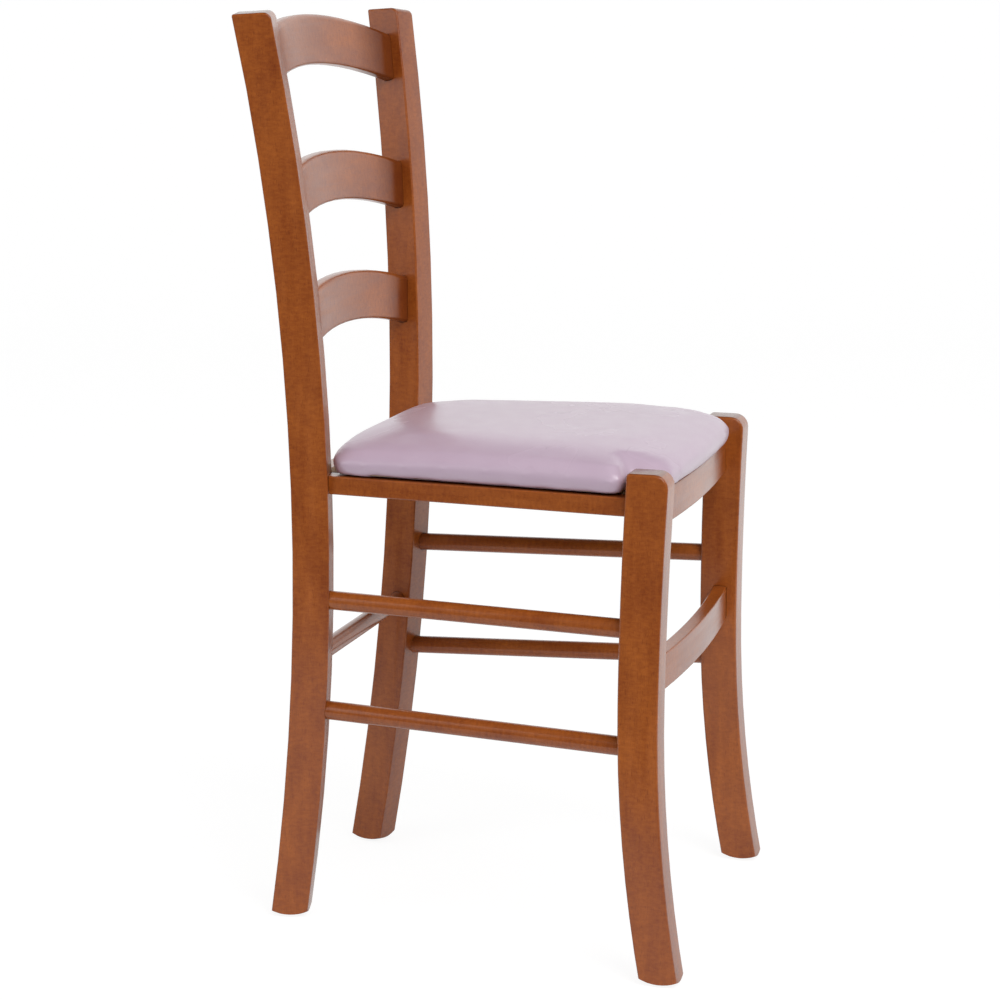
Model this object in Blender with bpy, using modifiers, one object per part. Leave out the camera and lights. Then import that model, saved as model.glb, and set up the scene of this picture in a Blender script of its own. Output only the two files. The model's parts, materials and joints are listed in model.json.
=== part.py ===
"""An upholstered ladder-back dining chair in stained beech, with a screwed-on seat pad.

Metres, +Z up. The front faces -Y and the sitter's left is +X. The origin is on the floor,
under the middle of the chair.
"""

import math

import bmesh
import bpy
from mathutils import Matrix, Vector

# Overall
CHAIR_HEIGHT = 0.880
SEAT_FRAME_HEIGHT = 0.4455
WAIST_SPACING = 0.3302
CLEARANCE = 0.0003

# Front legs: sawn to a sabre curve, kicked forward at the foot, spread a little at the floor
FRONT_LEG_HEIGHT = SEAT_FRAME_HEIGHT + 0.0245
FRONT_LEG_WIDTH = 0.030
FRONT_LEG_FOOT_DEPTH = 0.0362
FRONT_LEG_TOP_DEPTH = 0.0392
FRONT_LEG_WAIST_HEIGHT = 0.256
FRONT_LEG_KICK = 0.0244
FRONT_LEG_LEAD = 0.0050
FRONT_FOOT_SPREAD = 0.3944
FRONT_TOP_SPREAD = 0.3618
FRONT_TOP_RADIUS = 0.013

# Rear posts: sabre curved, leaning outwards, turned so that their front faces look inwards
REAR_POST_WIDTH = 0.0312
REAR_POST_DEPTH = 0.0355
REAR_POST_WAIST_HEIGHT = SEAT_FRAME_HEIGHT - 0.0125
REAR_POST_FOOT_SWEEP = 0.0355
REAR_POST_TOP_SWEEP = 0.0379
REAR_POST_TURN = math.radians(12.4)
REAR_POST_LEAN = math.radians(4.42)
REAR_FOOT_CENTRES = 0.2388
REAR_TOP_RADIUS = 0.0085
REAR_TOP_TILT = math.radians(3.5)

# Rounding of the sawn pieces: each foot is turned to a shallow dome round a small flat
LEG_EDGE_RADIUS = 0.0027
LEG_TOP_RADIUS = 0.0036
FOOT_DOME_RADIUS = 0.045
FOOT_FLAT_RADIUS = 0.007
FOOT_ALLOWANCE = 0.006

# Back slats: one bent board in three lengths, placed between the seat and the top of the posts
SLAT_PLACES = {"bottom": 0.3075, "middle": 0.5814, "top": 0.8838}
SLAT_HEIGHT = 0.0498
SLAT_THICKNESS = 0.0140
SLAT_BOW_RADIUS = 0.700
SLAT_ARCH_RADIUS = 0.587
SLAT_SETBACK = 0.0044
SLAT_TOP_FRONT_RADIUS = 0.0055
SLAT_TOP_BACK_RADIUS = 0.0022
SLAT_BOTTOM_FRONT_RADIUS = 0.0036
SLAT_BOTTOM_BACK_RADIUS = 0.0050

# Seat frame: it slopes down a little towards the back
SEAT_SLOPE = math.radians(0.4)
SIDE_RAIL_HEIGHT = 0.0175
SIDE_RAIL_THICKNESS = 0.020
SIDE_RAIL_INSET = 0.002
REAR_RAIL_THICKNESS = 0.018
REAR_RAIL_SETBACK = 0.0022
FRONT_RAIL_HEIGHT = 0.033
FRONT_RAIL_THICKNESS = 0.020
FRONT_RAIL_SETBACK = 0.0166
FRONT_BOW_RADIUS = 1.60
RAIL_EDGE_RADIUS = 0.0015
TENON_LENGTH = 0.009
TENON_THICKNESS = 0.008
TENON_SHOULDER = 0.002

# Stretchers: round rods at the sides and the back, a bowed board at the front
ROD_DIAMETER = 0.018
ROD_END_DEPTH = 0.014
ROD_TENON_DIAMETER = 0.014
ROD_SHOULDER_DEPTH = 0.004
UPPER_ROD_REAR_HEIGHT = 0.3218
UPPER_ROD_FRONT_HEIGHT = 0.3245
LOWER_ROD_REAR_HEIGHT = 0.2110
LOWER_ROD_FRONT_HEIGHT = 0.2150
REAR_ROD_HEIGHT = 0.2615
FRONT_STRETCHER_HEIGHT = 0.034
FRONT_STRETCHER_THICKNESS = 0.014
FRONT_STRETCHER_MIDDLE = 0.2757
FRONT_STRETCHER_SETBACK = 0.0103
SLAT_END_DEPTH = 0.012

# Corner blocks and screws
BLOCK_HEIGHT = 0.014
BLOCK_LEG = 0.046
BLOCK_TIP = 0.24
BLOCK_SCREW_LENGTH = 0.030
SEAT_SCREW_LENGTH = 0.020
SCREW_SHANK_DIAMETER = 0.0036
SCREW_HEAD_DIAMETER = 0.0074
SCREW_HEAD_HEIGHT = 0.0026
SCREW_SUNK = 0.0012
BLOCK_SCREW_PLACE = 0.62
SEAT_SCREW_PLACE = 0.52

# Seat pad: black cloth, leatherette cover, plywood board and foam, from the bottom up
CLOTH_THICKNESS = 0.0006
CLOTH_MARGIN = 0.016
COVER_THICKNESS = 0.0012
COVER_FOLD_UNDER = 0.030
BOARD_THICKNESS = 0.010
BOARD_INSET = 0.0064
PAD_HEIGHT = 0.0390
PAD_SHOULDER_HEIGHT = 0.0288
PAD_EDGE_HEIGHT = 0.0218
PAD_BULGE_HEIGHT = 0.0125
PAD_PEAK_Y = -0.046
PAD_REAR_FALL = 0.48
PAD_FRONT_FALL = 0.40
PAD_REAR_RISE = 0.0062
PAD_FALL_REACH = 0.175
PAD_SIDE_OVERHANG = 0.0015
PAD_REAR_TUCK = 0.0038
PAD_LEG_GAP = 0.004
PAD_FRONT_OVERHANG = 0.0085
PAD_REAR_CORNER_RADIUS = 0.022
PAD_FRONT_CORNER_RADIUS = 0.026
PAD_LUG_RADIUS = 0.009
PAD_NOTCH_RADIUS = 0.004
PAD_CENTRE_Y = -0.020
PAD_CROWN_INSET = 0.013

# How finely round work is drawn
LEG_STATIONS = 14
BOARD_STATIONS = 14
ROD_SIDES = 24
SCREW_SIDES = 10

SIDES = {"left": 1, "right": -1}

# Colours: base colour, roughness, metallic
CHERRY = (0.262, 0.066, 0.014), 0.32, 0.0
LEATHERETTE = (0.610, 0.480, 0.580), 0.42, 0.0
PLYWOOD = (0.560, 0.400, 0.220), 0.70, 0.0
FOAM = (0.800, 0.720, 0.480), 0.95, 0.0
BLACK_CLOTH = (0.012, 0.012, 0.013), 0.95, 0.0
RAW_BEECH = (0.550, 0.350, 0.190), 0.60, 0.0
ZINC = (0.620, 0.600, 0.560), 0.35, 1.0


def clear_scene():
    for obj in list(bpy.data.objects):
        bpy.data.objects.remove(obj, do_unlink=True)


def new_collection(name):
    collection = bpy.data.collections.new(name)
    bpy.context.scene.collection.children.link(collection)
    return collection


def make_material(name, look):
    colour, roughness, metallic = look
    material = bpy.data.materials.new(name)
    material.use_nodes = True
    shader = material.node_tree.nodes["Principled BSDF"]
    shader.inputs["Base Color"].default_value = (*colour, 1.0)
    shader.inputs["Roughness"].default_value = roughness
    shader.inputs["Metallic"].default_value = metallic
    material.diffuse_color = (*colour, 1.0)
    return material


clear_scene()
PARTS = new_collection("upholstered_chair")
CUTTERS = new_collection("cutters")
CHAIR = bpy.data.objects.new("chair", None)
PARTS.objects.link(CHAIR)
SEAT = bpy.data.objects.new("seat_frame", None)
PARTS.objects.link(SEAT)
SEAT.parent = CHAIR
SEAT.location = (0, 0, SEAT_FRAME_HEIGHT)
SEAT.rotation_euler = (-SEAT_SLOPE, 0, 0)


def add_object(name, mesh, look, parent=CHAIR):
    """A visible sub-part with its own material, or a cutter where look is None."""
    obj = bpy.data.objects.new(name, mesh)
    if look:
        PARTS.objects.link(obj)
        mesh.materials.append(make_material(name, look))
    else:
        CUTTERS.objects.link(obj)
        obj.hide_render = True
        obj.display_type = "WIRE"
    obj.parent = parent
    return obj


def mesh_of(bm, name):
    bmesh.ops.recalc_face_normals(bm, faces=bm.faces)
    mesh = bpy.data.meshes.new(name)
    bm.to_mesh(mesh)
    bm.free()
    return mesh


def soften(obj, width, segments=2):
    """Rounds the edges by their bevel weights."""
    bevel = obj.modifiers.new("rounded edges", "BEVEL")
    bevel.limit_method = "WEIGHT"
    bevel.width = width
    bevel.segments = segments
    bevel.use_clamp_overlap = True


def combine(obj, other, operation):
    boolean = obj.modifiers.new(f"{operation.lower()} {other.name}", "BOOLEAN")
    boolean.operation = operation
    boolean.object = other


def cut_all(obj, collection):
    boolean = obj.modifiers.new(f"cut {collection.name}", "BOOLEAN")
    boolean.operation = "DIFFERENCE"
    boolean.operand_type = "COLLECTION"
    boolean.collection = collection


def weigh_edges(bm, weight_of, least_angle=math.radians(50)):
    """Sets a bevel weight on each sharp edge from weight_of(edge)."""
    layer = bm.edges.layers.float.new("bevel_weight_edge")
    bm.normal_update()
    for edge in bm.edges:
        if len(edge.link_faces) == 2 and edge.calc_face_angle() > least_angle:
            edge[layer] = weight_of(edge)


def shade_round(mesh, angle=math.radians(40)):
    mesh.shade_smooth()
    mesh.set_sharp_from_angle(angle=angle)


def plate_mesh(name, outline, thickness):
    """A flat piece, from its outline in curve XY, with its thickness along curve Z."""
    curve = bpy.data.curves.new(name, "CURVE")
    curve.dimensions = "2D"
    curve.fill_mode = "BOTH"
    curve.extrude = thickness / 2
    spline = curve.splines.new("POLY")
    spline.points.add(len(outline) - 1)
    for point, (x, y) in zip(spline.points, outline):
        point.co = (x, y, 0, 1)
    spline.use_cyclic_u = True
    guide = bpy.data.objects.new(name + "_outline", curve)
    CUTTERS.objects.link(guide)
    graph = bpy.context.evaluated_depsgraph_get()
    mesh = bpy.data.meshes.new_from_object(guide.evaluated_get(graph))
    bpy.data.objects.remove(guide)
    bpy.data.curves.remove(curve)
    bm = bmesh.new()
    bm.from_mesh(mesh)
    bpy.data.meshes.remove(mesh)
    bmesh.ops.remove_doubles(bm, verts=bm.verts, dist=0.00001)
    bmesh.ops.dissolve_limit(bm, angle_limit=0.001, verts=bm.verts, edges=bm.edges)
    return bm


def arc(centre, radius, start, end, steps):
    """Points on a circle from one angle to another, in degrees, both ends included."""
    angles = [math.radians(start + (end - start) * i / steps) for i in range(steps + 1)]
    return [(centre[0] + radius * math.cos(a), centre[1] + radius * math.sin(a)) for a in angles]


def circle_drop(x, radius):
    """How far a circle of this radius has fallen away, x to the side of its highest point."""
    return radius - math.sqrt(radius * radius - x * x)


def sabre(z, waist, height, foot, top):
    """How far a sabre-curved leg has swung from its waist, at height z."""
    if z < waist:
        return foot * ((waist - z) / waist) ** 2
    return top * ((z - waist) / (height - waist)) ** 2


# Heights of the frame are measured from where the foot's dome meets the legs' side faces
FOOT_DROP = circle_drop(FRONT_LEG_WIDTH / 2, FOOT_DOME_RADIUS) - circle_drop(
    FOOT_FLAT_RADIUS, FOOT_DOME_RADIUS
)

# Front legs

FRONT_WAIST_Y = -WAIST_SPACING / 2
FRONT_SPLAY = (FRONT_FOOT_SPREAD - FRONT_TOP_SPREAD) / 2 / FRONT_LEG_HEIGHT
UPRIGHT = Matrix(((0, 0, 1), (1, 0, 0), (0, 1, 0))).to_4x4()


def front_leg_centre_y(z):
    swing = sabre(z, FRONT_LEG_WAIST_HEIGHT, FRONT_LEG_HEIGHT, FRONT_LEG_KICK, FRONT_LEG_LEAD)
    return FRONT_WAIST_Y - swing


def front_leg_depth(z):
    return FRONT_LEG_FOOT_DEPTH + (FRONT_LEG_TOP_DEPTH - FRONT_LEG_FOOT_DEPTH) * z / FRONT_LEG_HEIGHT


def front_leg_centre_x(z):
    return (FRONT_FOOT_SPREAD - FRONT_LEG_WIDTH) / 2 - FRONT_SPLAY * z


def front_leg_centre(z, side):
    return Vector((side * front_leg_centre_x(z), front_leg_centre_y(z), z))


def leg_edge_weight(height):
    """Bevel weights that round a leg's top most and its long edges less, and leave its foot."""
    def weight(edge):
        if all(vert.co.z < 0 for vert in edge.verts):
            return 0.0
        if all(vert.co.z > height - LEG_TOP_RADIUS / 2 for vert in edge.verts):
            return 1.0
        return LEG_EDGE_RADIUS / LEG_TOP_RADIUS

    return weight


def stations_up_to(height):
    """Heights at which a leg's outline is drawn, from just under the floor to below height."""
    run = height + FOOT_ALLOWANCE
    return [run * i / LEG_STATIONS - FOOT_ALLOWANCE for i in range(LEG_STATIONS)]


def dome_foot(leg, name, centre):
    """Turns the foot of a leg to a dome about an upright axis, flat in the middle."""
    reach = 0.9 * FOOT_DOME_RADIUS
    radii = [FOOT_FLAT_RADIUS + (reach - FOOT_FLAT_RADIUS) * i / 6 for i in range(6, -1, -1)]
    lowest = circle_drop(FOOT_FLAT_RADIUS, FOOT_DOME_RADIUS)
    dome = [(radius, circle_drop(radius, FOOT_DOME_RADIUS) - lowest) for radius in radii]
    wide = CHAIR_HEIGHT
    above = [(0.0, 2 * CHAIR_HEIGHT), (wide, 2 * CHAIR_HEIGHT), (wide, dome[0][1])]
    profile = [*above, *dome, (0.0, 0.0)]
    cutter = make_turned(f"{name}_foot_dome", profile, ROD_SIDES, None)
    cutter.location = (centre.x, centre.y, -FOOT_DROP)
    combine(leg, cutter, "INTERSECT")


def front_leg_outline(grow):
    """Side view of a front leg as (y, z), measured from its waist."""
    def edge(z, side):
        swing = front_leg_centre_y(z) - FRONT_WAIST_Y
        return swing + side * (front_leg_depth(z) / 2 + grow)

    round_start = FRONT_LEG_HEIGHT - FRONT_TOP_RADIUS
    heights = stations_up_to(round_start)
    front = [(edge(z, -1), z) for z in heights]
    rounding = FRONT_TOP_RADIUS + grow
    centre = (edge(round_start, -1) + rounding, round_start)
    corner = arc(centre, rounding, 180, 90, 6)
    back = [(edge(z, 1), z) for z in [FRONT_LEG_HEIGHT + grow, *reversed(heights)]]
    return front + corner + back


def make_front_leg(name, side, look, grow=0.0):
    bm = plate_mesh(name, front_leg_outline(grow), FRONT_LEG_WIDTH + 2 * grow)
    bm.transform(UPRIGHT)
    weigh_edges(bm, leg_edge_weight(FRONT_LEG_HEIGHT))
    splay = Matrix.Identity(4)
    splay[0][2] = -side * FRONT_SPLAY
    bm.transform(splay)
    leg = add_object(name, mesh_of(bm, name), look)
    leg.location = (side * front_leg_centre_x(0), FRONT_WAIST_Y, 0)
    if not grow:
        soften(leg, LEG_TOP_RADIUS)
        shade_round(leg.data)
        dome_foot(leg, name, front_leg_centre(0, side))
    return leg


# Rear posts

REAR_WAIST_Y = WAIST_SPACING / 2
REAR_WAIST_X = REAR_FOOT_CENTRES / 2 - REAR_POST_FOOT_SWEEP * math.sin(REAR_POST_TURN)


def rear_post_swing(z):
    return sabre(
        z, REAR_POST_WAIST_HEIGHT, CHAIR_HEIGHT, REAR_POST_FOOT_SWEEP, REAR_POST_TOP_SWEEP
    )


def rear_post_centre(z, side=1):
    swing = rear_post_swing(z)
    x = REAR_WAIST_X + math.tan(REAR_POST_LEAN) * z + swing * math.sin(REAR_POST_TURN)
    return Vector((side * x, REAR_WAIST_Y + swing * math.cos(REAR_POST_TURN), z))


def rear_post_rake(z):
    """Backward slope of the post at height z, as an angle."""
    step = 0.001
    rise = rear_post_centre(z + step) - rear_post_centre(z - step)
    return math.atan2(rise.y, rise.z)


def rear_post_outline(grow):
    """Side view of a rear post as (y, z), measured from its waist."""
    half = REAR_POST_DEPTH / 2 + grow
    round_start = CHAIR_HEIGHT - REAR_TOP_RADIUS
    heights = stations_up_to(round_start)
    front = [(rear_post_swing(z) - half, z) for z in heights]
    rounding = REAR_TOP_RADIUS + grow
    rake = 2 * REAR_POST_TOP_SWEEP / (CHAIR_HEIGHT - REAR_POST_WAIST_HEIGHT)
    centre = (rear_post_swing(round_start) - half + rounding, round_start)
    corner = arc(centre, rounding, 180 - math.degrees(rake), 90, 5)
    back = [(rear_post_swing(CHAIR_HEIGHT) + half, CHAIR_HEIGHT + grow)]
    back += [(rear_post_swing(z) + half, z) for z in reversed(heights)]
    return front + corner + back


def make_rear_post(name, side, look, grow=0.0):
    bm = plate_mesh(name, rear_post_outline(grow), REAR_POST_WIDTH + 2 * grow)
    bm.transform(UPRIGHT)
    weigh_edges(bm, leg_edge_weight(CHAIR_HEIGHT))
    lean = Matrix.Identity(4)
    lean[0][2] = side * math.tan(REAR_POST_LEAN)
    # The top is sawn square to the post as it leans outwards, and falls a little to the back.
    for vert in bm.verts:
        share = max(0.0, 1 - (CHAIR_HEIGHT - vert.co.z) / REAR_TOP_RADIUS)
        outward = side * vert.co.x + REAR_POST_WIDTH / 2
        backward = vert.co.y - rear_post_swing(CHAIR_HEIGHT)
        drop = outward * math.tan(REAR_POST_LEAN) + backward * math.tan(REAR_TOP_TILT)
        vert.co.z -= share * drop
    bm.transform(lean @ Matrix.Rotation(-side * REAR_POST_TURN, 4, "Z"))
    post = add_object(name, mesh_of(bm, name), look)
    post.location = (side * REAR_WAIST_X, REAR_WAIST_Y, 0)
    if not grow:
        soften(post, LEG_TOP_RADIUS)
        shade_round(post.data)
        dome_foot(post, name, rear_post_centre(0, side))
    return post


# Boards, bars and rods

def bar_mesh(name, length, thickness, height, edge_weights, stations=1):
    """A board along X, cut across into stations.

    The weights are for its top front, top back, bottom front and bottom back edges.
    """
    bm = bmesh.new()
    bmesh.ops.create_cube(bm, size=1.0)
    bmesh.ops.scale(bm, vec=(length, thickness, height), verts=bm.verts)
    long_edges = [e for e in bm.edges if abs(e.verts[0].co.x - e.verts[1].co.x) > length / 2]
    if stations > 1:
        bmesh.ops.subdivide_edges(bm, edges=long_edges, cuts=stations - 1, use_grid_fill=True)

    def weight(edge):
        level = edge.verts[0].co.z + edge.verts[1].co.z
        depth = edge.verts[0].co.y + edge.verts[1].co.y
        if abs(level) < height / 2 or abs(depth) < thickness / 2:
            return min(edge_weights)
        return edge_weights[2 * (level < 0) + (depth > 0)]

    weigh_edges(bm, weight)
    return bm


def make_bent_board(
    name, look, half_length, thickness, height, bow_radius, edge_radii,
    arch_radius=None, parent=CHAIR, grow=0.0, segments=2,
):
    """A board along X. A positive bow radius carries its ends forward, a negative one back."""
    widest = max(edge_radii)
    weights = tuple(radius / widest for radius in edge_radii)
    bm = bar_mesh(
        name, 2 * (half_length + grow), thickness + 2 * grow, height + 2 * grow,
        weights, BOARD_STATIONS,
    )
    for vert in bm.verts:
        x = vert.co.x
        vert.co.y -= math.copysign(circle_drop(x, abs(bow_radius)), bow_radius)
        if arch_radius:
            vert.co.z -= circle_drop(x, arch_radius)
    board = add_object(name, mesh_of(bm, name), look, parent)
    soften(board, widest + grow, segments)
    shade_round(board.data)
    return board


def make_turned(name, profile, sides, look, parent=CHAIR):
    """A turned piece from its half section, given as (radius, z) from its top end down."""
    mesh = bpy.data.meshes.new(name)
    links = [(i, i + 1) for i in range(len(profile) - 1)]
    mesh.from_pydata([(radius, 0, z) for radius, z in profile], links, [])
    piece = add_object(name, mesh, look, parent)
    turning = piece.modifiers.new("turned", "SCREW")
    turning.steps = sides
    turning.render_steps = sides
    turning.use_merge_vertices = True
    turning.merge_threshold = 0.00001
    turning.use_smooth_shade = True
    piece.rotation_mode = "QUATERNION"
    return piece


def make_rod(name, start, end, look, grow=0.0):
    """A round rod from start to end, whose ends are turned down inside the legs."""
    axis = end - start
    half = axis.length / 2 + grow
    full = ROD_DIAMETER / 2 + grow
    tenon = ROD_TENON_DIAMETER / 2 + grow
    shoulder = half - ROD_END_DEPTH + ROD_SHOULDER_DEPTH
    profile = [(0.0, half), (tenon, half), (tenon, shoulder + full - tenon), (full, shoulder)]
    profile += [(radius, -z) for radius, z in reversed(profile)]
    rod = make_turned(name, profile, ROD_SIDES, look)
    rod.location = (start + end) / 2
    rod.rotation_quaternion = axis.to_track_quat("Z", "Y")
    return rod


SLAT_EDGE_RADII = (
    SLAT_TOP_FRONT_RADIUS, SLAT_TOP_BACK_RADIUS, SLAT_BOTTOM_FRONT_RADIUS, SLAT_BOTTOM_BACK_RADIUS
)


def make_slat(name, end_height, look, grow=0.0):
    """A back slat, bowed backwards and arched, its ends seated in both posts at end_height."""
    rake = rear_post_rake(end_height)
    post = rear_post_centre(end_height)
    inner_face = post.x - REAR_POST_WIDTH / 2 * math.cos(REAR_POST_TURN)
    slat = make_bent_board(
        name, look, inner_face + SLAT_END_DEPTH, SLAT_THICKNESS, SLAT_HEIGHT, SLAT_BOW_RADIUS,
        SLAT_EDGE_RADII, arch_radius=SLAT_ARCH_RADIUS, grow=grow, segments=4,
    )
    # The board's own plane leans back with the posts.
    bow = circle_drop(inner_face, SLAT_BOW_RADIUS)
    arch = circle_drop(inner_face, SLAT_ARCH_RADIUS)
    middle_y = post.y + SLAT_SETBACK + bow * math.cos(rake) + arch * math.sin(rake)
    middle_z = end_height + arch * math.cos(rake) - bow * math.sin(rake)
    slat.location = (0, middle_y, middle_z)
    slat.rotation_euler = (-rake, 0, 0)
    return slat


# Places of the seat frame, in the seat's own plane: +Z is the top of the rails, at zero

RAIL_MIDDLE_Z = SEAT_FRAME_HEIGHT - SIDE_RAIL_HEIGHT / 2


def side_rail_line(side):
    """The ends of a side rail's middle line, on the centres of its post and leg."""
    post = rear_post_centre(RAIL_MIDDLE_Z, side)
    face = REAR_POST_DEPTH / 2
    rear = Vector((
        post.x - side * (face * math.sin(REAR_POST_TURN) + SIDE_RAIL_INSET),
        post.y - face * math.cos(REAR_POST_TURN), 0,
    ))
    leg_x = side * (front_leg_centre_x(RAIL_MIDDLE_Z) - SIDE_RAIL_INSET)
    leg_face = front_leg_centre_y(RAIL_MIDDLE_Z) + front_leg_depth(RAIL_MIDDLE_Z) / 2
    front = Vector((leg_x, leg_face, 0))
    return rear, front


def make_side_rail_bar(name, side, look, past_ends, thickness, height, grow=0.0):
    rear, front = side_rail_line(side)
    run = front - rear
    length = run.length + 2 * (past_ends + grow)
    bm = bar_mesh(name, length, thickness + 2 * grow, height + 2 * grow, 4 * (1.0,))
    bar = add_object(name, mesh_of(bm, name), look, SEAT)
    middle = (rear + front) / 2
    bar.location = (middle.x, middle.y, -SIDE_RAIL_HEIGHT / 2)
    bar.rotation_euler = (0, 0, math.atan2(run.y, run.x))
    return bar


def tenoned(rail, tenon, legs):
    """Trims a rail at the faces of its two legs, then joins its tenons on."""
    for leg in legs:
        combine(rail, leg, "DIFFERENCE")
    combine(rail, tenon, "UNION")


REAR_RAIL_Y = rear_post_centre(RAIL_MIDDLE_Z).y + REAR_RAIL_SETBACK
REAR_RAIL_HALF = rear_post_centre(RAIL_MIDDLE_Z).x - REAR_POST_WIDTH / 2 * math.cos(REAR_POST_TURN)
FRONT_LEG_INNER_X = front_leg_centre_x(RAIL_MIDDLE_Z) - FRONT_LEG_WIDTH / 2
FRONT_LEG_FACE_Y = front_leg_centre_y(RAIL_MIDDLE_Z) - front_leg_depth(RAIL_MIDDLE_Z) / 2
FRONT_RAIL_BOW = circle_drop(FRONT_LEG_INNER_X, FRONT_BOW_RADIUS)
FRONT_RAIL_FACE_Y = FRONT_LEG_FACE_Y + FRONT_RAIL_SETBACK - FRONT_RAIL_BOW


def make_rear_rail_bar(name, look, past_ends, thickness, height, grow=0.0):
    length = 2 * (REAR_RAIL_HALF + past_ends + grow)
    bm = bar_mesh(name, length, thickness + 2 * grow, height + 2 * grow, 4 * (1.0,))
    bar = add_object(name, mesh_of(bm, name), look, SEAT)
    bar.location = (0, REAR_RAIL_Y, -SIDE_RAIL_HEIGHT / 2)
    return bar


def make_front_rail_bar(name, look, past_ends, thickness, height, setback, grow=0.0):
    """A bowed bar whose front face lies setback behind the rail's own front face."""
    bar = make_bent_board(
        name, look, FRONT_LEG_INNER_X + past_ends, thickness, height, -FRONT_BOW_RADIUS,
        4 * (RAIL_EDGE_RADIUS,), parent=SEAT, grow=grow,
    )
    bar.location = (0, FRONT_RAIL_FACE_Y + setback + thickness / 2, -FRONT_RAIL_HEIGHT / 2)
    return bar


# Pad: its layers from the rails up, and its plan

PAD_BASE = 2 * CLEARANCE + CLOTH_THICKNESS
BOARD_BASE = COVER_THICKNESS + CLEARANCE
FOAM_BASE = BOARD_BASE + BOARD_THICKNESS + CLEARANCE
SIDE_RAIL_REAR, SIDE_RAIL_FRONT = side_rail_line(1)
PAD_SIDE_OFFSET = SIDE_RAIL_THICKNESS / 2 + PAD_SIDE_OVERHANG
PAD_LEVEL = SEAT_FRAME_HEIGHT + PAD_BULGE_HEIGHT
POST_FRONT_Y = (
    rear_post_centre(PAD_LEVEL).y
    - REAR_POST_DEPTH / 2 * math.cos(REAR_POST_TURN)
    - REAR_POST_WIDTH / 2 * math.sin(REAR_POST_TURN)
)
PAD_REAR_Y = POST_FRONT_Y + PAD_REAR_TUCK
PAD_SHOULDER_Y = (
    front_leg_centre_y(PAD_LEVEL) + front_leg_depth(PAD_LEVEL) / 2 + PAD_LEG_GAP
)
PAD_NOTCH_X = front_leg_centre_x(PAD_LEVEL) - FRONT_LEG_WIDTH / 2 - PAD_LEG_GAP
PAD_FRONT_Y = FRONT_RAIL_FACE_Y - PAD_FRONT_OVERHANG


def pad_side_x(y):
    """The pad's side at depth y, parallel to the side rail's outer face."""
    run = SIDE_RAIL_FRONT - SIDE_RAIL_REAR
    share = (y - SIDE_RAIL_REAR.y) / run.y
    offset = PAD_SIDE_OFFSET * run.length / abs(run.y)
    return SIDE_RAIL_REAR.x + run.x * share + offset


def pad_corner(corner, before, after, radius, steps):
    """Points of a rounded corner between two directions that leave it."""
    first = (Vector(before) - Vector(corner)).normalized()
    second = (Vector(after) - Vector(corner)).normalized()
    half = first.angle(second) / 2
    reach = radius / math.tan(half)
    centre = Vector(corner) + (first + second).normalized() * radius / math.sin(half)
    start = Vector(corner) + first * reach - centre
    turn = start.angle_signed(Vector(corner) + second * reach - centre)
    return [
        tuple(centre + Matrix.Rotation(-turn * i / steps, 2) @ start) for i in range(steps + 1)
    ]


def pad_outline():
    """Plan of the pad at its widest, as (x, y), from the middle of the back round to the front."""
    rear = (pad_side_x(PAD_REAR_Y), PAD_REAR_Y)
    shoulder = (pad_side_x(PAD_SHOULDER_Y), PAD_SHOULDER_Y)
    notch = (PAD_NOTCH_X, PAD_SHOULDER_Y)
    front_drop = circle_drop(PAD_NOTCH_X, FRONT_BOW_RADIUS)
    front = (PAD_NOTCH_X, PAD_FRONT_Y + front_drop)
    inner_front = (PAD_NOTCH_X / 2, PAD_FRONT_Y + circle_drop(PAD_NOTCH_X / 2, FRONT_BOW_RADIUS))
    half = [(0.0, PAD_REAR_Y)]
    half += [(rear[0] * share, PAD_REAR_Y) for share in (0.25, 0.5, 0.68)]
    half += pad_corner(rear, half[0], shoulder, PAD_REAR_CORNER_RADIUS, 4)
    side_stations = 5
    start_y = half[-1][1]
    end_y = PAD_SHOULDER_Y + PAD_LUG_RADIUS
    for i in range(1, side_stations):
        y = start_y + (end_y - start_y) * i / side_stations
        half.append((pad_side_x(y), y))
    half += pad_corner(shoulder, rear, notch, PAD_LUG_RADIUS, 2)
    half += pad_corner(notch, shoulder, front, PAD_NOTCH_RADIUS, 1)
    half += pad_corner(front, notch, inner_front, PAD_FRONT_CORNER_RADIUS, 4)
    last_x = half[-1][0]
    for share in (0.75, 0.5, 0.25, 0.0):
        x = last_x * share
        half.append((x, PAD_FRONT_Y + circle_drop(x, FRONT_BOW_RADIUS)))
    mirrored = [(-x, y) for x, y in reversed(half[1:-1])]
    return half + mirrored


def inset_ring(outline, inset):
    """The outline drawn in towards the middle of the pad by inset."""
    ring = []
    for x, y in outline:
        out = Vector((x, y - PAD_CENTRE_Y))
        drawn = out * (1 - inset / out.length)
        ring.append((drawn.x, drawn.y + PAD_CENTRE_Y))
    return ring


def shrunk_ring(outline, inset, share):
    """The inset outline scaled towards the middle, for rings that cross the crown."""
    return [
        (x * share, (y - PAD_CENTRE_Y) * share + PAD_CENTRE_Y)
        for x, y in inset_ring(outline, inset)
    ]


def settled(x, y, z):
    """How much lower the pad lies towards its corners, and fuller behind, for a point at height z."""
    share = min(max((z - FOAM_BASE) / (PAD_EDGE_HEIGHT - FOAM_BASE), 0.0), 1.0)
    sideways = (x / PAD_FALL_REACH) ** 4
    along = (y - PAD_PEAK_Y) ** 2
    if y < PAD_PEAK_Y:
        return PAD_FRONT_FALL * along * sideways * share
    rise = PAD_REAR_RISE * ((y - PAD_PEAK_Y) / (PAD_REAR_Y - PAD_PEAK_Y)) ** 4
    return (PAD_REAR_FALL * along * sideways - rise * (1 - sideways)) * share


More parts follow.
